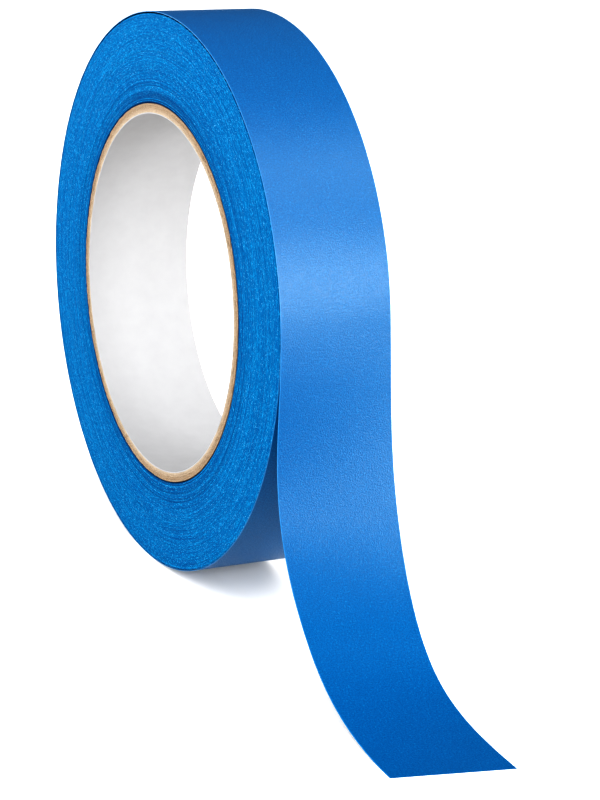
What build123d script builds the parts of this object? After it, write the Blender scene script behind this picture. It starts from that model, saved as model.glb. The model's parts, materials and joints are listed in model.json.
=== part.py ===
from build123d import *
from math import cos, radians, sin
import os

# A roll of masking tape on a paper core, with a short length of the tape pulled off the roll.
# The roll stands on its rim with its axis along Y, and the origin is the centre of the core's bore.
# The tape leaves the front of the roll, and its free tail curves down to the surface below.
# Lengths are in millimetres. Angles about the axis are in degrees, from +X towards +Z.

# Driving dimensions
TAPE_WIDTH = 24.0
STANDING_RADIUS = 59.25  # from the axis down to the surface that the roll stands on
BORE_RADIUS = 38.1  # a core for a 3 inch spindle

# The core is a tube of paper strips, each wound as a helix with its edges nearly meeting in a seam
LINER_THICKNESS = 0.20
PLY_THICKNESS = 0.455
PLY_COUNT = 4
GLUE_FILM = 0.02
SEAM_GAP = 0.30
SEAM_LEAD = 97.0  # the distance along the axis in which a seam goes once round
SEAM_STEP = 105.0  # how far each ply's seam is turned from the seam of the ply below it

# The tape, from its outer side to the side that faces the core
BACKING_THICKNESS = 0.100
PRIMER_FILM = 0.005
ADHESIVE_THICKNESS = 0.040
TAPE_THICKNESS = BACKING_THICKNESS + PRIMER_FILM + ADHESIVE_THICKNESS
ADHESIVE_DEPTH = BACKING_THICKNESS + PRIMER_FILM

# The outermost turn starts on the roll just below the line where the tail peels away
PEEL_ANGLE = 9.0
TURN_START_ANGLE = 5.0
TURN_CLEARANCE = 0.06  # the least gap between this turn and the tape below it
PEEL_GAP = 0.10

# Worked out: the outermost turn is a spiral of two half circles whose centres lie either side of
# the axis, on the line through the peel line, so that its radius grows by one thickness in a turn
HALF_WIDTH = TAPE_WIDTH / 2
CENTRE_SHIFT = TAPE_THICKNESS / 4
LOWER_RADIUS = STANDING_RADIUS - CENTRE_SHIFT * sin(radians(PEEL_ANGLE))
UPPER_RADIUS = LOWER_RADIUS + 2 * CENTRE_SHIFT
PEEL_RADIUS = UPPER_RADIUS + CENTRE_SHIFT
PACK_RADIUS = LOWER_RADIUS - CENTRE_SHIFT - TAPE_THICKNESS - TURN_CLEARANCE
FLOOR = -STANDING_RADIUS

# The tail's outer surface, as X and Z along each edge. The front edge stays close to the roll for
# longer than the back edge, so the tail twists a little on its way down.
TAIL_END = FLOOR + TAPE_THICKNESS
FRONT_EDGE = [(59.7, -1), (60.2, -13.8), (63.4, -28.5), (73.2, -43.3), (87.7, -54.2)]
FRONT_END = (112.5, TAIL_END)
BACK_EDGE = [(60, 0.6), (62.4, -13), (68.9, -32.2), (87, -54.3), (108.5, -58.96)]
BACK_END = (117.3, TAIL_END)
LAYER_POINTS = 16


def at_angle(radius, angle):
    """The point in the XZ plane at a radius and an angle about the roll's axis."""
    return Vector(radius * cos(radians(angle)), radius * sin(radians(angle)))


def save(piece, name):
    """Label a finished piece and write its STEP file."""
    piece.part.label = name
    export_step(piece.part, f"parts/{name}.step")


def core_ply(inner_radius, thickness, seam_angle):
    """One strip of the wound core: a ring with a helical seam across its width."""
    overrun = 1.0
    seam = Helix(
        pitch=SEAM_LEAD,
        height=TAPE_WIDTH + 2 * overrun,
        radius=inner_radius + thickness / 2,
        center=(0, -HALF_WIDTH - overrun, 0),
        direction=(0, 1, 0),
        mode=Mode.PRIVATE,
    ).rotate(Axis.Y, seam_angle)
    start = seam @ 0
    with BuildPart() as ply:
        with BuildSketch(Plane.XZ):
            Circle(inner_radius + thickness)
            Circle(inner_radius, mode=Mode.SUBTRACT)
        extrude(amount=HALF_WIDTH, both=True)
        with BuildSketch(Plane(origin=start, x_dir=(start.X, 0, start.Z), z_dir=seam % 0)):
            Rectangle(thickness + overrun, SEAM_GAP)
        sweep(path=seam, is_frenet=True, mode=Mode.SUBTRACT)
    return ply


def turn_layer(depth, thickness):
    """One layer of the outermost turn, depth below the tape's outer surface."""
    upper_centre = at_angle(CENTRE_SHIFT, PEEL_ANGLE)
    lower_centre = -upper_centre
    lower_sweep = 180 - (PEEL_ANGLE - TURN_START_ANGLE)
    with BuildPart() as layer:
        with BuildSketch(Plane.XZ):
            with BuildLine():
                ends = []
                for below in (depth, depth + thickness):
                    upper = CenterArc(upper_centre, UPPER_RADIUS - below, PEEL_ANGLE, 180)
                    lower = CenterArc(lower_centre, LOWER_RADIUS - below, PEEL_ANGLE + 180, lower_sweep)
                    ends.append((upper @ 0, lower @ 1))
                for outer_end, inner_end in zip(*ends):
                    Line(outer_end, inner_end)
            make_face()
        extrude(amount=HALF_WIDTH, both=True)
    return layer


def tail_edge(points, end):
    """The curve of one edge of the tail's outer surface, from the peel line to the cut end."""
    off_the_roll = Vector(sin(radians(PEEL_ANGLE)), -cos(radians(PEEL_ANGLE)))
    start = at_angle(PEEL_RADIUS, PEEL_ANGLE) + PEEL_GAP * off_the_roll
    return Spline(start, *points, end, tangents=(off_the_roll, (1, 0)), mode=Mode.PRIVATE)


def below_surface(curve, depth):
    """A curve that runs at a depth under one edge of the tail's outer surface."""
    points = []
    for step in range(LAYER_POINTS + 1):
        share = step / LAYER_POINTS
        along = curve % share
        points.append(curve @ share + depth * Vector(along.Y, -along.X))
    return Spline(*points, tangents=(curve % 0, curve % 1))


def tail_layer(depth, thickness):
    """One layer of the free tail: a band at each edge of the tape, with straight rules between."""
    front = tail_edge(FRONT_EDGE, FRONT_END)
    back = tail_edge(BACK_EDGE, BACK_END)
    with BuildPart() as layer:
        for curve, distance in ((front, HALF_WIDTH), (back, -HALF_WIDTH)):
            with BuildSketch(Plane.XZ.offset(distance)):
                with BuildLine():
                    outer = below_surface(curve, depth)
                    inner = below_surface(curve, depth + thickness)
                    Line(outer @ 0, inner @ 0)
                    Line(outer @ 1, inner @ 1)
                make_face()
        loft(ruled=True)
    return layer


os.makedirs("parts", exist_ok=True)

strips = [("core_liner", LINER_THICKNESS)]
for number in range(1, PLY_COUNT + 1):
    strips.append((f"core_ply_{number}", PLY_THICKNESS))
radius = BORE_RADIUS
for number, (name, thickness) in enumerate(strips):
    save(core_ply(radius, thickness, number * SEAM_STEP), name)
    radius += thickness + GLUE_FILM

with BuildPart() as wound_tape:
    with BuildSketch(Plane.XZ):
        Circle(PACK_RADIUS)
        Circle(radius, mode=Mode.SUBTRACT)
    extrude(amount=HALF_WIDTH, both=True)
save(wound_tape, "wound_tape")

save(turn_layer(0, BACKING_THICKNESS), "outer_turn_backing")
save(turn_layer(ADHESIVE_DEPTH, ADHESIVE_THICKNESS), "outer_turn_adhesive")
save(tail_layer(0, BACKING_THICKNESS), "tail_backing")
save(tail_layer(ADHESIVE_DEPTH, ADHESIVE_THICKNESS), "tail_adhesive")
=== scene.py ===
import json
import math

import bmesh
import bpy
import numpy as np
from mathutils import Matrix, Vector


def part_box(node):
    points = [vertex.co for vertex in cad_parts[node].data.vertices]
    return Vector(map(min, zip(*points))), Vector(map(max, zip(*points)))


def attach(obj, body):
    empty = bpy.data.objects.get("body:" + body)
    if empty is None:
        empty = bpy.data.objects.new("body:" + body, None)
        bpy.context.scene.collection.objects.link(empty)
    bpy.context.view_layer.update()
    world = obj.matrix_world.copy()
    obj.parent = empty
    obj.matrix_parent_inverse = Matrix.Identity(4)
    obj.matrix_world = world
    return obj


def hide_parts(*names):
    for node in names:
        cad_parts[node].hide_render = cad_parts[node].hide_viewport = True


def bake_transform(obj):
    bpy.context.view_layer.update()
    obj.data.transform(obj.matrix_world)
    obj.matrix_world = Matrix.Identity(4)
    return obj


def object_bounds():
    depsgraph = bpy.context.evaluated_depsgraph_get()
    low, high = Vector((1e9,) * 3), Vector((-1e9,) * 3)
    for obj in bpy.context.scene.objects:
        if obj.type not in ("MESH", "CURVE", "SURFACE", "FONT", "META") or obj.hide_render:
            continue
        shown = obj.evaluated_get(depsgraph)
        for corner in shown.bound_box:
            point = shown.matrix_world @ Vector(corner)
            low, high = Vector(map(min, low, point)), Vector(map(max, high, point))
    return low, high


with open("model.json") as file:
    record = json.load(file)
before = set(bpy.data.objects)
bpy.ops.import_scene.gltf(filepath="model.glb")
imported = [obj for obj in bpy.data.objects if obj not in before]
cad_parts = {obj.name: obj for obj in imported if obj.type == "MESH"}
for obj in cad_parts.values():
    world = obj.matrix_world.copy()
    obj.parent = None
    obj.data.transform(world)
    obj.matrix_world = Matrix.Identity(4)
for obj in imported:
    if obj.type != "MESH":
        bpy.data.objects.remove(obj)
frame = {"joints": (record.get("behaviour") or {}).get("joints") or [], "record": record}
cad_low, cad_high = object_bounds()

# A roll of blue masking tape that stands on its rim, with a length of the tape peeled off.
# Everything is in metres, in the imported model's frame: the roll's axis is Y, its front side faces
# -Y, and the tail leaves the roll on the +X side and curves down to the floor.

MM = 0.001
FRONT, BACK = -1, 1  # the two sides of the roll, along Y

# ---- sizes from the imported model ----
MOUNTS = {mount["name"]: mount for mount in frame["record"]["mounts"]}
JOINTS = {joint["name"]: joint for joint in frame["joints"]}
BORE_RADIUS = MOUNTS["core_bore"]["dims"]["r_mm"] * MM
HALF_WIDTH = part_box("wound_tape")[1].y
PACK_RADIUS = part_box("wound_tape")[1].x
FLOOR = cad_low.z
PEEL_LINE = Vector(JOINTS["tail_lift"]["pos_m"])
PEEL_ANGLE = math.atan2(PEEL_LINE.z, PEEL_LINE.x)
PEEL_RADIUS = math.hypot(PEEL_LINE.x, PEEL_LINE.z)
OUTWARD = np.array([math.cos(PEEL_ANGLE), math.sin(PEEL_ANGLE)])  # at the peel line, in XZ
OFF_THE_ROLL = np.array([math.sin(PEEL_ANGLE), -math.cos(PEEL_ANGLE)])  # how the tail sets out

# ---- the tape, as in part.py ----
BACKING = 0.100 * MM
PRIMER = 0.005 * MM
ADHESIVE = 0.040 * MM
TAPE = BACKING + PRIMER + ADHESIVE
TURN_START = math.radians(5)
CENTRE_SHIFT = TAPE / 4  # the outermost turn is two half circles, centred either side of the axis
UPPER_RADIUS = PEEL_RADIUS - CENTRE_SHIFT
LOWER_RADIUS = UPPER_RADIUS - 2 * CENTRE_SHIFT

# The tail's outer surface, in millimetres: X and Z along each edge, and X at its cut end
FRONT_EDGE = [(59.7, -1), (60.2, -13.8), (63.4, -28.5), (73.2, -43.3), (87.7, -54.2)]
FRONT_END = 112.5
BACK_EDGE = [(60, 0.6), (62.4, -13), (68.9, -32.2), (87, -54.3), (108.5, -58.96)]
BACK_END = 117.3
TAIL_END = FLOOR + TAPE  # its height there, where the tape lies on the floor

# ---- the core, as in part.py ----
CORE_WALL = 2.1 * MM  # from the bore to the outside of the last ply
GLUE = 0.02 * MM
SEAM_GAP = 0.30 * MM
SEAM_LEAD = 97 * MM
SEAM_STEP = math.radians(105)
SEAM_OVERRUN = 1 * MM  # how far the cut for a seam runs past each side
PLIES = ["core_liner", "core_ply_1", "core_ply_2", "core_ply_3", "core_ply_4"]

# ---- how finely the pieces are divided ----
STATION = 0.5 * MM  # the distance between stations along the tape
ACROSS = 24  # rows across the tape's width
CURVE_SAMPLES = 4000  # places where a curve is measured, so that its stations are evenly spaced
TURN_STEPS = 160  # steps round each turn of the winding
PLY_STEPS = 540  # steps round a core ply
PLY_ROWS = 24  # rows across a core ply's width
PLY_LEVELS = 4  # points through its thickness

# ---- how uneven the cut edges are ----
TAPE_ROUGH, ADHESIVE_ROUGH = 0.012 * MM, 0.008 * MM  # how far the tape's slit edges wander
EDGE_BENDS = (1.7, 9)  # and how many stations lie between their fine bends and their broad ones
CORNER_INSET = 0.001  # a layer's corners stand in from its edge by a quarter of this share
ON_EDGE = 0.002  # points within this share of the width from a slit edge wander with it
BOARD_ROUGH, LINING_ROUGH = 0.07 * MM, 0.02 * MM  # how far the core's cut edges wander
FUZZ_BENDS = (1.3, 5)  # and how many steps lie between their fine bends and their broad ones
BROAD_FUZZ = 0.6  # the broad bends' share of the fine ones
RADIAL_BEND = 1.5  # steps between the bends in and out from the axis
RADIAL_FUZZ = 0.25  # their size, as a share of the other bends'
FACE_FUZZ = 0.15  # and what is left of them on a ply's inner and outer faces

# The winding's turns stand in or out of its sides: how far, over how many turns, and the seed
TURN_DRIFTS = ((0.020 * MM, 0.35, 11), (0.020 * MM, 0.9, 12), (0.035 * MM, 2.6, 13))
CORE_DRIFT, CORE_DRIFT_TURNS, CORE_DRIFT_SEED = 0.11 * MM, 3.4, 14
LOOSE_TURNS = 34  # the turns from the core over which that last drift dies away
GROOVE = 0.14  # the margin either side of a turn's slit edge, as a share of the pitch


# ================================ meshes ================================

def smooth_noise(count, spacing, seed):
    """count values from -1 to 1 that change smoothly, with a new value every spacing steps."""
    source = np.random.default_rng(seed)
    knots = source.uniform(-1, 1, int(count / spacing) + 4)
    place = np.arange(count) / spacing
    low = place.astype(int)
    part = place - low
    part = part * part * (3 - 2 * part)
    return knots[low] * (1 - part) + knots[low + 1] * part


def make_piece(name, points, faces, material, flat, sharp=math.radians(35)):
    """A mesh object from its points and faces, smooth but where it turns by more than sharp.

    flat gives each point's place on the flat paper, which the materials' textures follow.
    """
    mesh = bpy.data.meshes.new(name)
    mesh.from_pydata(points.tolist(), [], faces)
    layer = mesh.attributes.new("flat_place", "FLOAT_VECTOR", "POINT")
    layer.data.foreach_set("vector", np.asarray(flat, np.float32).ravel())
    shell = bmesh.new()
    shell.from_mesh(mesh)
    bmesh.ops.recalc_face_normals(shell, faces=shell.faces)
    shell.to_mesh(mesh)
    shell.free()
    mesh.shade_smooth()
    mesh.set_sharp_from_angle(angle=sharp)
    mesh.materials.append(material)
    piece = bpy.data.objects.new(name, mesh)
    bpy.context.scene.collection.objects.link(piece)
    return piece


def loop_faces(loops, around):
    """Quads between loops of points that follow each other, each loop closed on itself."""
    faces = []
    for i in range(loops - 1):
        here, there = i * around, (i + 1) * around
        for j in range(around):
            k = (j + 1) % around
            faces.append((here + j, there + j, there + k, here + k))
    return faces


# ================================ the tape's path ================================

def clamped_spline(points, start_slope, end_slope, count):
    """A smooth curve through points with a slope at each end.

    Gives count evenly spaced points along it, and its length.
    """
    points = np.array(points, float)
    spans = np.linalg.norm(np.diff(points, axis=0), axis=1)
    knots = np.concatenate([[0], np.cumsum(spans)])
    size = len(points)
    left = np.zeros((size, size))
    right = np.zeros((size, 2))
    left[0, 0] = left[-1, -1] = 1
    right[0], right[-1] = start_slope, end_slope
    for i in range(1, size - 1):
        before, after = spans[i - 1], spans[i]
        left[i, i - 1 : i + 2] = after, 2 * (before + after), before
        rise_before = (points[i] - points[i - 1]) / before
        rise_after = (points[i + 1] - points[i]) / after
        right[i] = 3 * (after * rise_before + before * rise_after)
    slopes = np.linalg.solve(left, right)

    def at(place):
        i = np.clip(np.searchsorted(knots, place, side="right") - 1, 0, size - 2)
        span = spans[i][:, None]
        t = ((place - knots[i]) / spans[i])[:, None]
        return (
            points[i] * (2 * t**3 - 3 * t**2 + 1)
            + slopes[i] * span * (t**3 - 2 * t**2 + t)
            + points[i + 1] * (3 * t**2 - 2 * t**3)
            + slopes[i + 1] * span * (t**3 - t**2)
        )

    sampled = np.linspace(0, knots[-1], CURVE_SAMPLES)
    steps = np.linalg.norm(np.diff(at(sampled), axis=0), axis=1)
    walked = np.concatenate([[0], np.cumsum(steps)])
    even = np.interp(np.linspace(0, walked[-1], count), walked, sampled)
    return at(even), walked[-1]


def normals_of(line):
    """The outward normal at each point of a line in XZ that runs down the tail."""
    along = np.gradient(line, axis=0)
    along /= np.linalg.norm(along, axis=1)[:, None]
    return np.stack([-along[:, 1], along[:, 0]], axis=1)


def tail_lines(count):
    """The tail's front and back edges: for each its points, its normals and its length."""
    start = np.array([PEEL_LINE.x, PEEL_LINE.z])
    lines = []
    for middle, end in ((FRONT_EDGE, FRONT_END), (BACK_EDGE, BACK_END)):
        route = [start, *(np.array(middle) * MM), np.array([end * MM, TAIL_END])]
        line, length = clamped_spline(route, OFF_THE_ROLL, (1, 0), count)
        normals = normals_of(line)
        normals[0] = OUTWARD
        lines.append((line, normals, length))
    return lines


def turn_arc(radius, centre_sign, start, end, count):
    """An arc of the outermost turn: its points, its outward normals and its length."""
    angles = np.linspace(start, end, count)
    outward = np.stack([np.cos(angles), np.sin(angles)], axis=1)
    centre = centre_sign * CENTRE_SHIFT * OUTWARD
    return centre + radius * outward, outward, radius * abs(end - start)


def upper_route():
    """From the back of the roll over its top to the peel line, and along the tail to its end.

    Gives the front edge and the back edge, each as points and normals, and how far past the peel
    line each station is.
    """
    turn_count = round(math.pi * UPPER_RADIUS / STATION)
    points, outward, length = turn_arc(
        UPPER_RADIUS, 1, PEEL_ANGLE + math.pi, PEEL_ANGLE, turn_count + 1
    )
    _, _, front_length = tail_lines(2)[0]  # any number of points gives the length
    tail_count = round(front_length / STATION)
    (front, front_out, _), (back, back_out, back_length) = tail_lines(tail_count + 1)
    tail_length = (front_length + back_length) / 2
    distance = np.concatenate(
        [np.linspace(-length, 0, turn_count + 1), np.linspace(0, tail_length, tail_count + 1)[1:]]
    )
    edges = []
    for line, normals in ((front, front_out), (back, back_out)):
        edges.append((np.concatenate([points, line[1:]]), np.concatenate([outward, normals[1:]])))
    return edges[0], edges[1], distance


def lower_route():
    """From the start of the outermost turn, under the roll and up to the back of it."""
    start, end = TURN_START + 2 * math.pi, PEEL_ANGLE + math.pi
    count = round(LOWER_RADIUS * (start - end) / STATION)
    points, outward, length = turn_arc(LOWER_RADIUS, -1, start, end, count + 1)
    edge = (points, outward)
    return edge, edge, np.linspace(-length, 0, count + 1) - math.pi * UPPER_RADIUS


# ================================ strips of tape ================================

def layer_section(depth, thickness):
    """The loop round a layer's cross-section, as shares of the width from the front, and depths."""
    shares = 0.5 - 0.5 * np.cos(np.linspace(0, math.pi, ACROSS + 1)) * (1 - CORNER_INSET)
    shares = (shares + np.linspace(0, 1, ACROSS + 1)) / 2  # a little closer near the slit edges
    loop = [(share, depth) for share in shares]
    loop += [(1, depth + thickness * 0.5)]
    loop += [(share, depth + thickness) for share in shares[::-1]]
    loop += [(0, depth + thickness * 0.5)]
    return np.array(loop)


def cut_end(around):
    """The faces that close the cut end of a layer, over the around points of its section."""
    faces = [(j, j + 1, around - 3 - j, around - 2 - j) for j in range(ACROSS)]
    faces.append((0, around - 2, around - 1))
    faces.append((ACROSS, ACROSS + 1, ACROSS + 2))
    return faces


def wander(count, rough, seed):
    """How far a slit edge strays at each of count stations."""
    fine, broad = EDGE_BENDS
    return rough * smooth_noise(count, fine, seed) + rough * smooth_noise(count, broad, seed + 1)


def strip(name, material, front, back, distance, depth, thickness, rough, seed):
    """A layer of tape. front and back are its two long edges as (points, normals) in XZ.

    distance is how far along the tape each station is, depth is how far the layer lies under the
    tape's outer side, and rough is how far the slit edges wander.
    """
    count = len(distance)
    section = layer_section(depth, thickness)
    share, below = section[:, 0], section[:, 1]

    def between(front_values, back_values):
        """The two edges' values at each station, shared out over the section's points."""
        return front_values[:, None] * (1 - share[:, None]) + back_values[:, None] * share[:, None]

    (front_points, front_normals), (back_points, back_normals) = front, back
    outward = between(front_normals, back_normals)
    place = between(front_points, back_points) - outward * below[:, None]
    y = -HALF_WIDTH + 2 * HALF_WIDTH * share
    y = y + wander(count, rough, seed)[:, None] * (share < ON_EDGE)
    y = y + wander(count, rough, seed + 2)[:, None] * (share > 1 - ON_EDGE)
    points = np.stack([place[..., 0], y, place[..., 1]], axis=-1)
    flat = np.stack(np.broadcast_arrays(distance[:, None], y, below), axis=-1)
    around = len(section)
    last = (count - 1) * around
    faces = loop_faces(count, around)
    for face in cut_end(around):
        faces.append(face)
        faces.append(tuple(last + point for point in reversed(face)))
    return make_piece(name, points.reshape(-1, 3), faces, material, flat.reshape(-1, 3))


# ================================ the winding ================================

def winding(name, material, inner_radius, outer_radius):
    """The wound tape as one spiral, whose slit edges stand a little in or out of its sides."""
    turns = round((outer_radius - inner_radius) / TAPE)
    pitch = (outer_radius - inner_radius) / (turns + 1)
    count = turns * TURN_STEPS + 1
    turned = np.arange(count) / TURN_STEPS
    angle = 2 * math.pi * turned
    start = inner_radius + pitch * turned
    along = inner_radius * angle + pitch * angle * turned / 2
    groove = GROOVE * pitch
    drift = np.zeros(count)
    for size, spacing, seed in TURN_DRIFTS:
        drift += size * smooth_noise(count, spacing * TURN_STEPS, seed)
    near_core = np.clip(1 - turned / LOOSE_TURNS, 0, 1)
    core_noise = smooth_noise(count, CORE_DRIFT_TURNS * TURN_STEPS, CORE_DRIFT_SEED)
    drift += CORE_DRIFT * near_core * core_noise
    points, flat = [], []
    for side in (FRONT, BACK):
        y = side * HALF_WIDTH + drift
        for radius in (start + groove, start + pitch - groove):
            points.append(np.stack([radius * np.cos(angle), y, radius * np.sin(angle)], axis=1))
            flat.append(np.stack([along, radius, y], axis=1))
    points, flat = np.concatenate(points), np.concatenate(flat)
    front_in, front_out, back_in, back_out = (np.arange(count) + row * count for row in range(4))
    quads = []

    def band(a, b):
        """Quads between two rows of points."""
        quads.append(np.stack([a[:-1], a[1:], b[1:], b[:-1]], axis=1))

    band(front_in, front_out)
    band(back_in, back_out)
    band(front_out[:-TURN_STEPS], front_in[TURN_STEPS:])
    band(back_out[:-TURN_STEPS], back_in[TURN_STEPS:])
    band(front_in[: TURN_STEPS + 1], back_in[: TURN_STEPS + 1])
    band(front_out[-TURN_STEPS - 1 :], back_out[-TURN_STEPS - 1 :])
    for end in (0, -1):
        quads.append(np.array([[front_in[end], front_out[end], back_out[end], back_in[end]]]))
    faces = np.concatenate(quads).tolist()
    return make_piece(name, points, faces, material, flat, sharp=math.radians(20))


# ================================ the core ================================

def ply(name, material, inner_radius, outer_radius, seam_angle, rough, seed):
    """One strip of the core: a ring whose two long edges meet in a helical seam."""
    radii = np.linspace(inner_radius, outer_radius, PLY_LEVELS)
    rows = np.linspace(-1, 1, PLY_ROWS + 1)
    loop = [(radii[0], row) for row in rows] + [(r, 1.0) for r in radii[1:-1]]
    loop += [(radii[-1], row) for row in rows[::-1]] + [(r, -1.0) for r in radii[-2:0:-1]]
    loop = np.array(loop)
    gap = SEAM_GAP / inner_radius
    turn = np.linspace(gap / 2, 2 * math.pi - gap / 2, PLY_STEPS + 1)
    y = loop[:, 1] * HALF_WIDTH
    angle = seam_angle + turn[:, None] - 2 * math.pi * y / SEAM_LEAD
    count, around = angle.shape
    radius, y = np.tile(loop[:, 0], (count, 1)), np.tile(y, (count, 1))
    fine, broad = FUZZ_BENDS
    for j in np.flatnonzero(np.abs(loop[:, 1]) == 1):  # the points on the two cut edges
        first_seed = seed + 10 * j
        fuzz = smooth_noise(count, fine, first_seed)
        fuzz = fuzz + BROAD_FUZZ * smooth_noise(count, broad, first_seed + 1)
        y[:, j] += rough * fuzz
        free = FACE_FUZZ if loop[j, 0] in (radii[0], radii[-1]) else 1.0
        in_and_out = smooth_noise(count, RADIAL_BEND, first_seed + 2)
        radius[:, j] += RADIAL_FUZZ * free * rough * in_and_out
    points = np.stack([radius * np.cos(angle), y, radius * np.sin(angle)], axis=-1)
    flat = np.stack([inner_radius * angle, radius, y], axis=-1)
    faces = loop_faces(count, around)
    faces.append(tuple(range(around)))
    faces.append(tuple(range((count - 1) * around, count * around)))
    return make_piece(name, points.reshape(-1, 3), faces, material, flat.reshape(-1, 3))


# ================================ building materials ================================

class Nodes:
    """Makes the nodes of one tree. An input is a constant or another node's output."""

    def __init__(self, tree):
        self.tree = tree

    def feed(self, socket, value):
        """Link another node's output to an input socket, or set the socket to a constant."""
        if isinstance(value, bpy.types.NodeSocket):
            self.tree.links.new(value, socket)
        else:
            socket.default_value = value

    def node(self, kind, inputs=(), **settings):
        """A new node with its settings, and its inputs by their names or numbers."""
        made = self.tree.nodes.new(kind)
        for key, value in settings.items():
            setattr(made, key, value)
        for key, value in dict(inputs).items():
            self.feed(made.inputs[key], value)
        return made

    def parts(self, vector):
        """The X, Y and Z parts of a vector."""
        return self.node("ShaderNodeSeparateXYZ", {0: vector}).outputs

    def noise(self, place, size, detail=2.0, roughness=0.5):
        """A noise from 0 to 1 whose features are about size across, in the units of place."""
        look = {"Scale": 1 / size, "Detail": detail, "Roughness": roughness}
        return self.node("ShaderNodeTexNoise", {"Vector": place, **look}).outputs["Fac"]

    def ramp(self, value, low, high, to_low=0.0, to_high=1.0):
        """value taken from the range low..high to the range to_low..to_high, held at its ends."""
        limits = {"From Min": low, "From Max": high, "To Min": to_low, "To Max": to_high}
        return self.node("ShaderNodeMapRange", {"Value": value, **limits}).outputs[0]

    def calculate(self, operation, a, b=0.0):
        """The result of one operation on numbers, such as ADD or MULTIPLY."""
        return self.node("ShaderNodeMath", {0: a, 1: b}, operation=operation).outputs[0]

    def mix(self, share, a, b):
        """A colour that goes from a to b as share goes from 0 to 1."""
        # a Mix node keeps its factor in input 0 and its colours in inputs 6 and 7 and output 2
        return self.node("ShaderNodeMix", {0: share, 6: a, 7: b}, data_type="RGBA").outputs[2]


class Shade(Nodes):
    """A material, whose textures are in millimetres on the flat paper."""

    def __init__(self, name):
        self.material = bpy.data.materials.new(name)
        self.material.use_nodes = True
        super().__init__(self.material.node_tree)

    def place(self, factors=(1, 1, 1)):
        """Where a point is on the flat paper. A factor below 1 draws a texture out that way."""
        flat = self.node("ShaderNodeAttribute", attribute_name="flat_place")
        scale = [1000 * factor for factor in factors]  # from metres to millimetres
        scaled = self.node(
            "ShaderNodeVectorMath", {0: flat.outputs["Vector"], 1: scale}, operation="MULTIPLY"
        )
        return scaled.outputs[0]

    def bump(self, height, distance):
        """The normal of a surface that rises by distance millimetres as height goes up by 1."""
        inputs = {"Height": height, "Distance": distance * MM, "Strength": 1.0}
        return self.node("ShaderNodeBump", inputs).outputs[0]

    def finish(self, **inputs):
        """The material, with its shader's inputs by their names, with _ for a space."""
        shader = self.tree.nodes["Principled BSDF"]
        for key, value in inputs.items():
            self.feed(shader.inputs[key.replace("_", " ")], value)
        return self.material


def colour(red, green, blue):
    """A display colour, each part from 0 to 255, as the linear colour that a shader takes."""
    parts = [part / 255 for part in (red, green, blue)]
    linear = [part / 12.92 if part < 0.04045 else ((part + 0.055) / 1.055) ** 2.4 for part in parts]
    return (*linear, 1.0)


# ================================ the materials ================================

# Lengths here are in millimetres, as the textures are
COAT_ON_ROLL, COAT_PAST_PEEL = 0.134, 0.096  # the release coat's weight on the roll and past the peel line, set by place for painted sheen
COAT_DROP_SPAN = (-18, 12)  # the stretch, past the peel line, where the first gives way to the second
TAIL_END_COAT_SHARE = 0.2  # the share of it left at the tail's free end, where the sheen is painted out and the stretch, past the peel line, where it fades down to that
TAIL_FADE_SPAN = (38, 60)  # and the stretch, past the peel line, where it wears down to that
FIBRE_AND_HIGHLIGHT_RIM = (0.16, 0.03)  # how far in from its slit edges the paper pales, and is palest: paler fibre and a painted highlight
RING_FADE = 7  # how far out from the core the dark rings between the turns fade
GAP_SHADE_SPAN = (0.25, 0.50)  # how far out from the core the painted shade of the gap beside it starts to fade, and ends
BOARD_SHADE = (0.3, 1.3)  # how far out from the bore the board starts to darken, and is darkest


def tape_paper():
    """Blue crepe paper, satin release coat: fine grain, faint cross ripples, edges paled by fibre
    and painted highlight.

    The coat's weight is set by place to paint where its sheen shows: full on the roll, a little
    less past the peel line, and faint on the tail's lower half.
    """
    shade = Shade("blue_crepe_paper")
    place = shade.place()
    grain = shade.noise(place, 0.32, 2.0, 0.6)
    fine = shade.noise(place, 0.21, 1.0, 0.5)
    ripple = shade.noise(shade.place((1.0, 0.35, 1.0)), 0.42, 2.0, 0.55)
    cloud = shade.noise(place, 5.0, 3.0, 0.6)
    fleck = shade.ramp(shade.noise(shade.place((1.0, 0.7, 1.0)), 0.34, 1.0, 0.5), 0.60, 0.72)
    body = shade.mix(shade.ramp(cloud, 0.3, 0.7), colour(0, 75, 121), colour(0, 79, 126))
    body = shade.mix(shade.ramp(grain, 0.38, 0.62), body, colour(0, 65, 109))
    body = shade.mix(shade.ramp(fine, 0.42, 0.66, 0.0, 0.6), body, colour(0, 87, 133))
    body = shade.mix(shade.calculate("MULTIPLY", fleck, 0.35), body, colour(20, 110, 152))

    along, across, _ = shade.parts(place)  # along is how far past the peel line
    # pale slit edges: partly paler exposed fibre, partly a painted highlight where the edge catches
    # light
    half = HALF_WIDTH / MM
    from_middle = shade.calculate("ABSOLUTE", across)
    fibre_and_highlight_rim = shade.ramp(from_middle, half - FIBRE_AND_HIGHLIGHT_RIM[0], half - FIBRE_AND_HIGHLIGHT_RIM[1])
    body = shade.mix(shade.calculate("MULTIPLY", fibre_and_highlight_rim, 0.6), body, colour(34, 122, 174))

    height = shade.calculate("ADD", grain, fine)
    height = shade.calculate("ADD", height, shade.calculate("MULTIPLY", ripple, 0.6))
    satin = shade.bump(height, 0.042)
    # painted sheen: the coat weight is set by place along the tape, not by wear
    coat_by_place = shade.ramp(along, *COAT_DROP_SPAN, COAT_ON_ROLL, COAT_PAST_PEEL)
    tail_sheen_fade = shade.ramp(along, *TAIL_FADE_SPAN, 1.0, TAIL_END_COAT_SHARE)
    return shade.finish(
        Base_Color=body,
        Roughness=shade.ramp(grain, 0.3, 0.7, 0.30, 0.42),
        Normal=satin,
        IOR=1.5,
        Specular_IOR_Level=0.05,
        Specular_Tint=(0.1, 1, 1, 1),
        Coat_Weight=shade.calculate("MULTIPLY", coat_by_place, tail_sheen_fade),
        Coat_Roughness=0.32,
        Coat_IOR=2.5,
        Coat_Normal=satin,
    )


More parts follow.
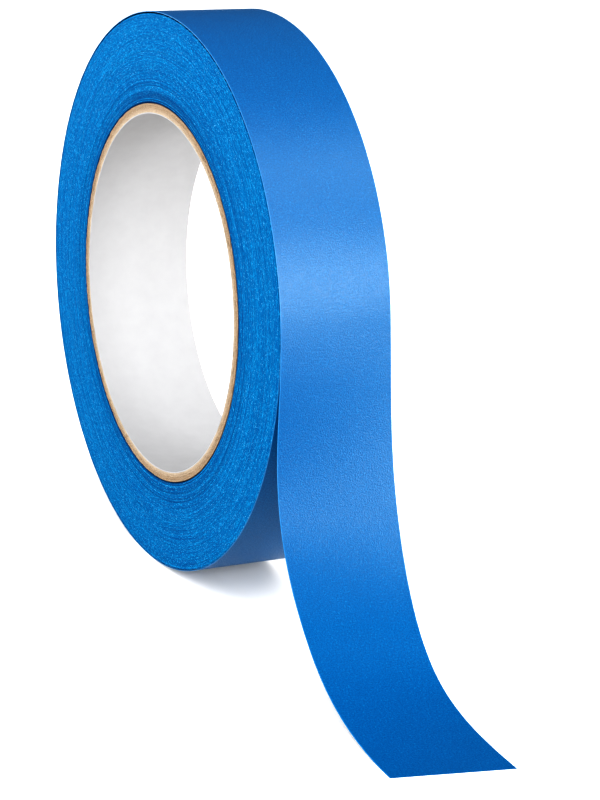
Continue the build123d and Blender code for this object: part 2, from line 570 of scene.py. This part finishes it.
def tape_adhesive():
    """Clear adhesive over the blue paper: darker, glossier and a little uneven."""
    shade = Shade("clear_adhesive")
    pull = shade.noise(shade.place((0.25, 1.0, 1.0)), 0.6, 3.0, 0.6)
    ripple = shade.noise(shade.place((1.0, 0.30, 1.0)), 0.45, 2.0, 0.5)
    return shade.finish(
        Base_Color=shade.mix(shade.ramp(pull, 0.3, 0.7), colour(0, 64, 110), colour(8, 80, 126)),
        Roughness=shade.ramp(pull, 0.3, 0.7, 0.22, 0.38),
        Normal=shade.bump(shade.calculate("ADD", pull, ripple), 0.012),
        IOR=1.47,
    )


def slit_tape():
    """The sides of the winding: the slit edges of the turns, with specks of torn fibre.

    The textures are drawn out along the turns. Near the core they darken into rings.
    """
    shade = Shade("slit_tape_edges")
    _, radius, _ = shade.parts(shade.place())
    core = (BORE_RADIUS + CORE_WALL) / MM
    near_core = shade.ramp(radius, core, core + RING_FADE, 0.75, 0.2)
    # painted shade: the first turns beside the core darken, standing for the shadow in the gap
    # there
    gap_shade = shade.ramp(radius, core + GAP_SHADE_SPAN[0], core + GAP_SHADE_SPAN[1], 1.0, 0.0)
    ring = shade.noise(shade.place((0.004, 1.0, 0.0)), 0.62, 1.0, 0.5)
    ring = shade.calculate("ABSOLUTE", shade.calculate("SUBTRACT", ring, 0.5))
    ring = shade.ramp(ring, 0.025, 0.09, 1.0, 0.0)
    line = shade.noise(shade.place((0.012, 1.0, 0.0)), 0.36, 2.0, 0.7)
    broad = shade.noise(shade.place((0.02, 1.0, 0.0)), 2.4, 2.0, 0.6)
    grain = shade.noise(shade.place((0.20, 1.0, 0.0)), 0.24, 2.0, 0.7)
    fleck = shade.ramp(shade.noise(shade.place((0.30, 1.0, 0.0)), 0.26, 1.0, 0.6), 0.56, 0.66)
    spark = shade.ramp(shade.noise(shade.place((0.7, 1.0, 0.0)), 0.28, 1.0, 0.5), 0.67, 0.73)
    body = shade.mix(shade.ramp(grain, 0.35, 0.65), colour(0, 74, 119), colour(0, 105, 147))
    body = shade.mix(shade.ramp(line, 0.50, 0.60, 0.0, 0.7), body, colour(0, 56, 105))
    body = shade.mix(shade.ramp(broad, 0.35, 0.65, 0.0, 0.3), body, colour(0, 75, 124))
    body = shade.mix(shade.calculate("MULTIPLY", fleck, 0.6), body, colour(34, 154, 196))
    body = shade.mix(shade.calculate("MULTIPLY", spark, 0.8), body, colour(130, 194, 218))
    body = shade.mix(shade.calculate("MULTIPLY", ring, near_core), body, colour(0, 30, 72))
    # the painted shade of the gap between core and winding
    body = shade.mix(shade.calculate("MULTIPLY", gap_shade, 0.9), body, colour(0, 24, 56))
    return shade.finish(
        Base_Color=body,
        Roughness=0.6,
        Normal=shade.bump(shade.calculate("ADD", line, grain), 0.05),
        IOR=1.45,
        Specular_IOR_Level=0.02,
    )


def core_board():
    """Brown board: matt, darker away from the lining, with fibres that lie round the core."""
    shade = Shade("brown_core_board")
    fibre = shade.noise(shade.place((0.25, 1.0, 1.0)), 0.16, 3.0, 0.65)
    grain = shade.noise(shade.place(), 0.12, 2.0, 0.6)
    blotch = shade.noise(shade.place(), 1.6, 2.0, 0.5)
    _, radius, _ = shade.parts(shade.place())
    bore = BORE_RADIUS / MM
    outward = shade.ramp(radius, bore + BOARD_SHADE[0], bore + BOARD_SHADE[1])
    body = shade.mix(outward, colour(160, 148, 131), colour(122, 103, 82))
    body = shade.mix(shade.ramp(fibre, 0.35, 0.65, 0.0, 0.5), body, colour(98, 83, 67))
    body = shade.mix(shade.ramp(blotch, 0.35, 0.65, 0.0, 0.4), body, colour(126, 110, 94))
    body = shade.mix(shade.ramp(grain, 0.50, 0.68, 0.0, 0.8), body, colour(171, 160, 144))
    return shade.finish(
        Base_Color=body,
        Roughness=0.9,
        Normal=shade.bump(shade.calculate("ADD", fibre, grain), 0.06),
        IOR=1.4,
        Specular_IOR_Level=0.2,
    )


def lining_paper():
    """White lining paper: smooth and matt, with a faint formation pattern."""
    shade = Shade("white_lining_paper")
    cloud = shade.noise(shade.place(), 3.5, 4.0, 0.55)
    grain = shade.noise(shade.place(), 0.35, 2.0, 0.6)
    return shade.finish(
        Base_Color=shade.mix(
            shade.ramp(cloud, 0.3, 0.7), colour(146, 146, 147), colour(149, 149, 150)
        ),
        Roughness=0.9,
        Normal=shade.bump(grain, 0.008),
        IOR=1.45,
        Specular_IOR_Level=0.1,
    )


# ================================ the pieces ================================

paper, adhesive, sides = tape_paper(), tape_adhesive(), slit_tape()
board, lining = core_board(), lining_paper()

# the core: a lining and four plies of board, each with its own seam
inner = BORE_RADIUS
for number, node in enumerate(PLIES):
    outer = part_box(node)[1].x
    material = board if number else lining
    rough = BOARD_ROUGH if number else LINING_ROUGH
    seam_angle = -2 * math.pi * (HALF_WIDTH + SEAM_OVERRUN) / SEAM_LEAD - number * SEAM_STEP
    name = node.replace("core", "core_paper")
    strip_piece = ply(name, material, inner, outer, seam_angle, rough, seed=100 * number)
    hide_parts(node)
    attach(strip_piece, "roll")
    inner = outer + GLUE

# the winding
wound = winding("winding", sides, inner, PACK_RADIUS)
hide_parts("wound_tape")
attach(wound, "roll")

# the outermost turn and the tail: two strips of backing, each with its adhesive under it
LAYERS = (
    ("tape", paper, 0, BACKING, TAPE_ROUGH, "backing", "tape_backing"),
    ("adhesive", adhesive, BACKING + PRIMER, ADHESIVE, ADHESIVE_ROUGH, "adhesive", "tape_adhesive"),
)
for kind, material, depth, thickness, rough, layer, slot in LAYERS:
    front, back, distance = upper_route()
    name = kind + "_upper_and_tail"
    upper = strip(name, material, front, back, distance, depth, thickness, rough, seed=21)
    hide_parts("outer_turn_" + layer, "tail_" + layer)
    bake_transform(upper)
    front, back, distance = lower_route()
    name = kind + "_lower"
    lower = strip(name, material, front, back, distance, depth, thickness, rough, seed=41)
    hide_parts("outer_turn_" + layer)
    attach(lower, "outer_turn")


# ================================ the stage ================================

def studio_floor(half):
    """A pale floor, half metres from its middle to each side, with a faint broad pattern."""
    corners = [(x * half, y * half, FLOOR) for x, y in ((-1, -1), (1, -1), (1, 1), (-1, 1))]
    mesh = bpy.data.meshes.new("studio_floor")
    mesh.from_pydata(corners, [], [(0, 1, 2, 3)])
    shade = Shade("studio_floor")
    in_metres = shade.node("ShaderNodeTexCoord").outputs["Object"]
    cloud = shade.noise(in_metres, 0.4)
    pale, paler = (0.83, 0.810, 0.784, 1), (0.86, 0.840, 0.814, 1)
    mesh.materials.append(shade.finish(Base_Color=shade.mix(cloud, pale, paler), Roughness=0.9))
    made = bpy.data.objects.new("studio_floor", mesh)
    bpy.context.scene.collection.objects.link(made)


def emitter(name, place, target, width, height, power):
    """A soft box that stands at place and faces target."""
    lamp = bpy.data.lights.new(name, "AREA")
    lamp.shape = "RECTANGLE"
    lamp.size, lamp.size_y = width, height
    lamp.energy = power
    holder = bpy.data.objects.new(name, lamp)
    holder.location = place
    holder.rotation_euler = (Vector(target) - Vector(place)).to_track_quat("-Z", "Y").to_euler()
    bpy.context.scene.collection.objects.link(holder)


def studio_sky(horizon, overhead, dimmed):
    """White light from all round, from one strength at the horizon to another overhead.

    dimmed is the share of it that comes from the -X side.
    """
    world = bpy.data.worlds.new("studio")
    bpy.context.scene.world = world
    world.use_nodes = True
    sky = Nodes(world.node_tree)
    sideways, _, upward = sky.parts(sky.node("ShaderNodeTexCoord").outputs["Generated"])
    by_height = sky.ramp(upward, 0.0, 1.0, horizon, overhead)
    by_side = sky.ramp(sideways, -0.9, 0.3, dimmed, 1.0)
    background = world.node_tree.nodes["Background"]
    sky.feed(background.inputs["Color"], (1, 1, 1, 1))
    sky.feed(background.inputs["Strength"], sky.calculate("MULTIPLY", by_height, by_side))


studio_floor(half=4.0)
emitter("key_box", (1.00, 0.45, 0.30), (0, 0, 0.30), width=0.42, height=0.50, power=10.1)
emitter("top_box", (0.40, 0.44, 0.70), (0, 0, 0), width=0.40, height=0.40, power=2.3)
emitter("fill_box", (0.42, -0.85, 0.46), (0, 0, 0), width=1.6, height=1.0, power=12.6)
emitter("front_box", (-0.50, -0.50, 0.18), (0, 0, 0), width=0.6, height=0.5, power=3.4)
studio_sky(horizon=0.14, overhead=1.1, dimmed=0.5)
bpy.context.scene.view_settings.view_transform = "Standard"
bpy.context.scene.view_settings.look = "Very High Contrast"

# ================================ the camera ================================

AZIMUTH, ELEVATION, ROLL = (math.radians(angle) for angle in (62.264, 18.691, 3.615))
AWAY, SIDEWAYS, UPWARDS = 517.906 * MM, 19.687 * MM, -23.687 * MM  # from the bore's centre
FOCAL_LENGTH, SENSOR_WIDTH = 108.59, 36  # in millimetres, as the camera takes them

ahead = math.cos(ELEVATION)
away = Vector((math.sin(AZIMUTH) * ahead, -math.cos(AZIMUTH) * ahead, math.sin(ELEVATION)))
level = Vector((math.cos(AZIMUTH), math.sin(AZIMUTH), 0))
rising = away.cross(level)
right = level * math.cos(ROLL) + rising * math.sin(ROLL)
above = rising * math.cos(ROLL) - level * math.sin(ROLL)
lens = bpy.data.cameras.new("camera")
lens.lens = FOCAL_LENGTH
lens.sensor_width = SENSOR_WIDTH
lens.clip_start, lens.clip_end = 0.01, 20
camera = bpy.data.objects.new("camera", lens)
turned = Matrix((right, above, away)).transposed().to_4x4()
camera.matrix_world = Matrix.Translation(away * AWAY + right * SIDEWAYS + above * UPWARDS) @ turned
bpy.context.scene.collection.objects.link(camera)
bpy.context.scene.camera = camera
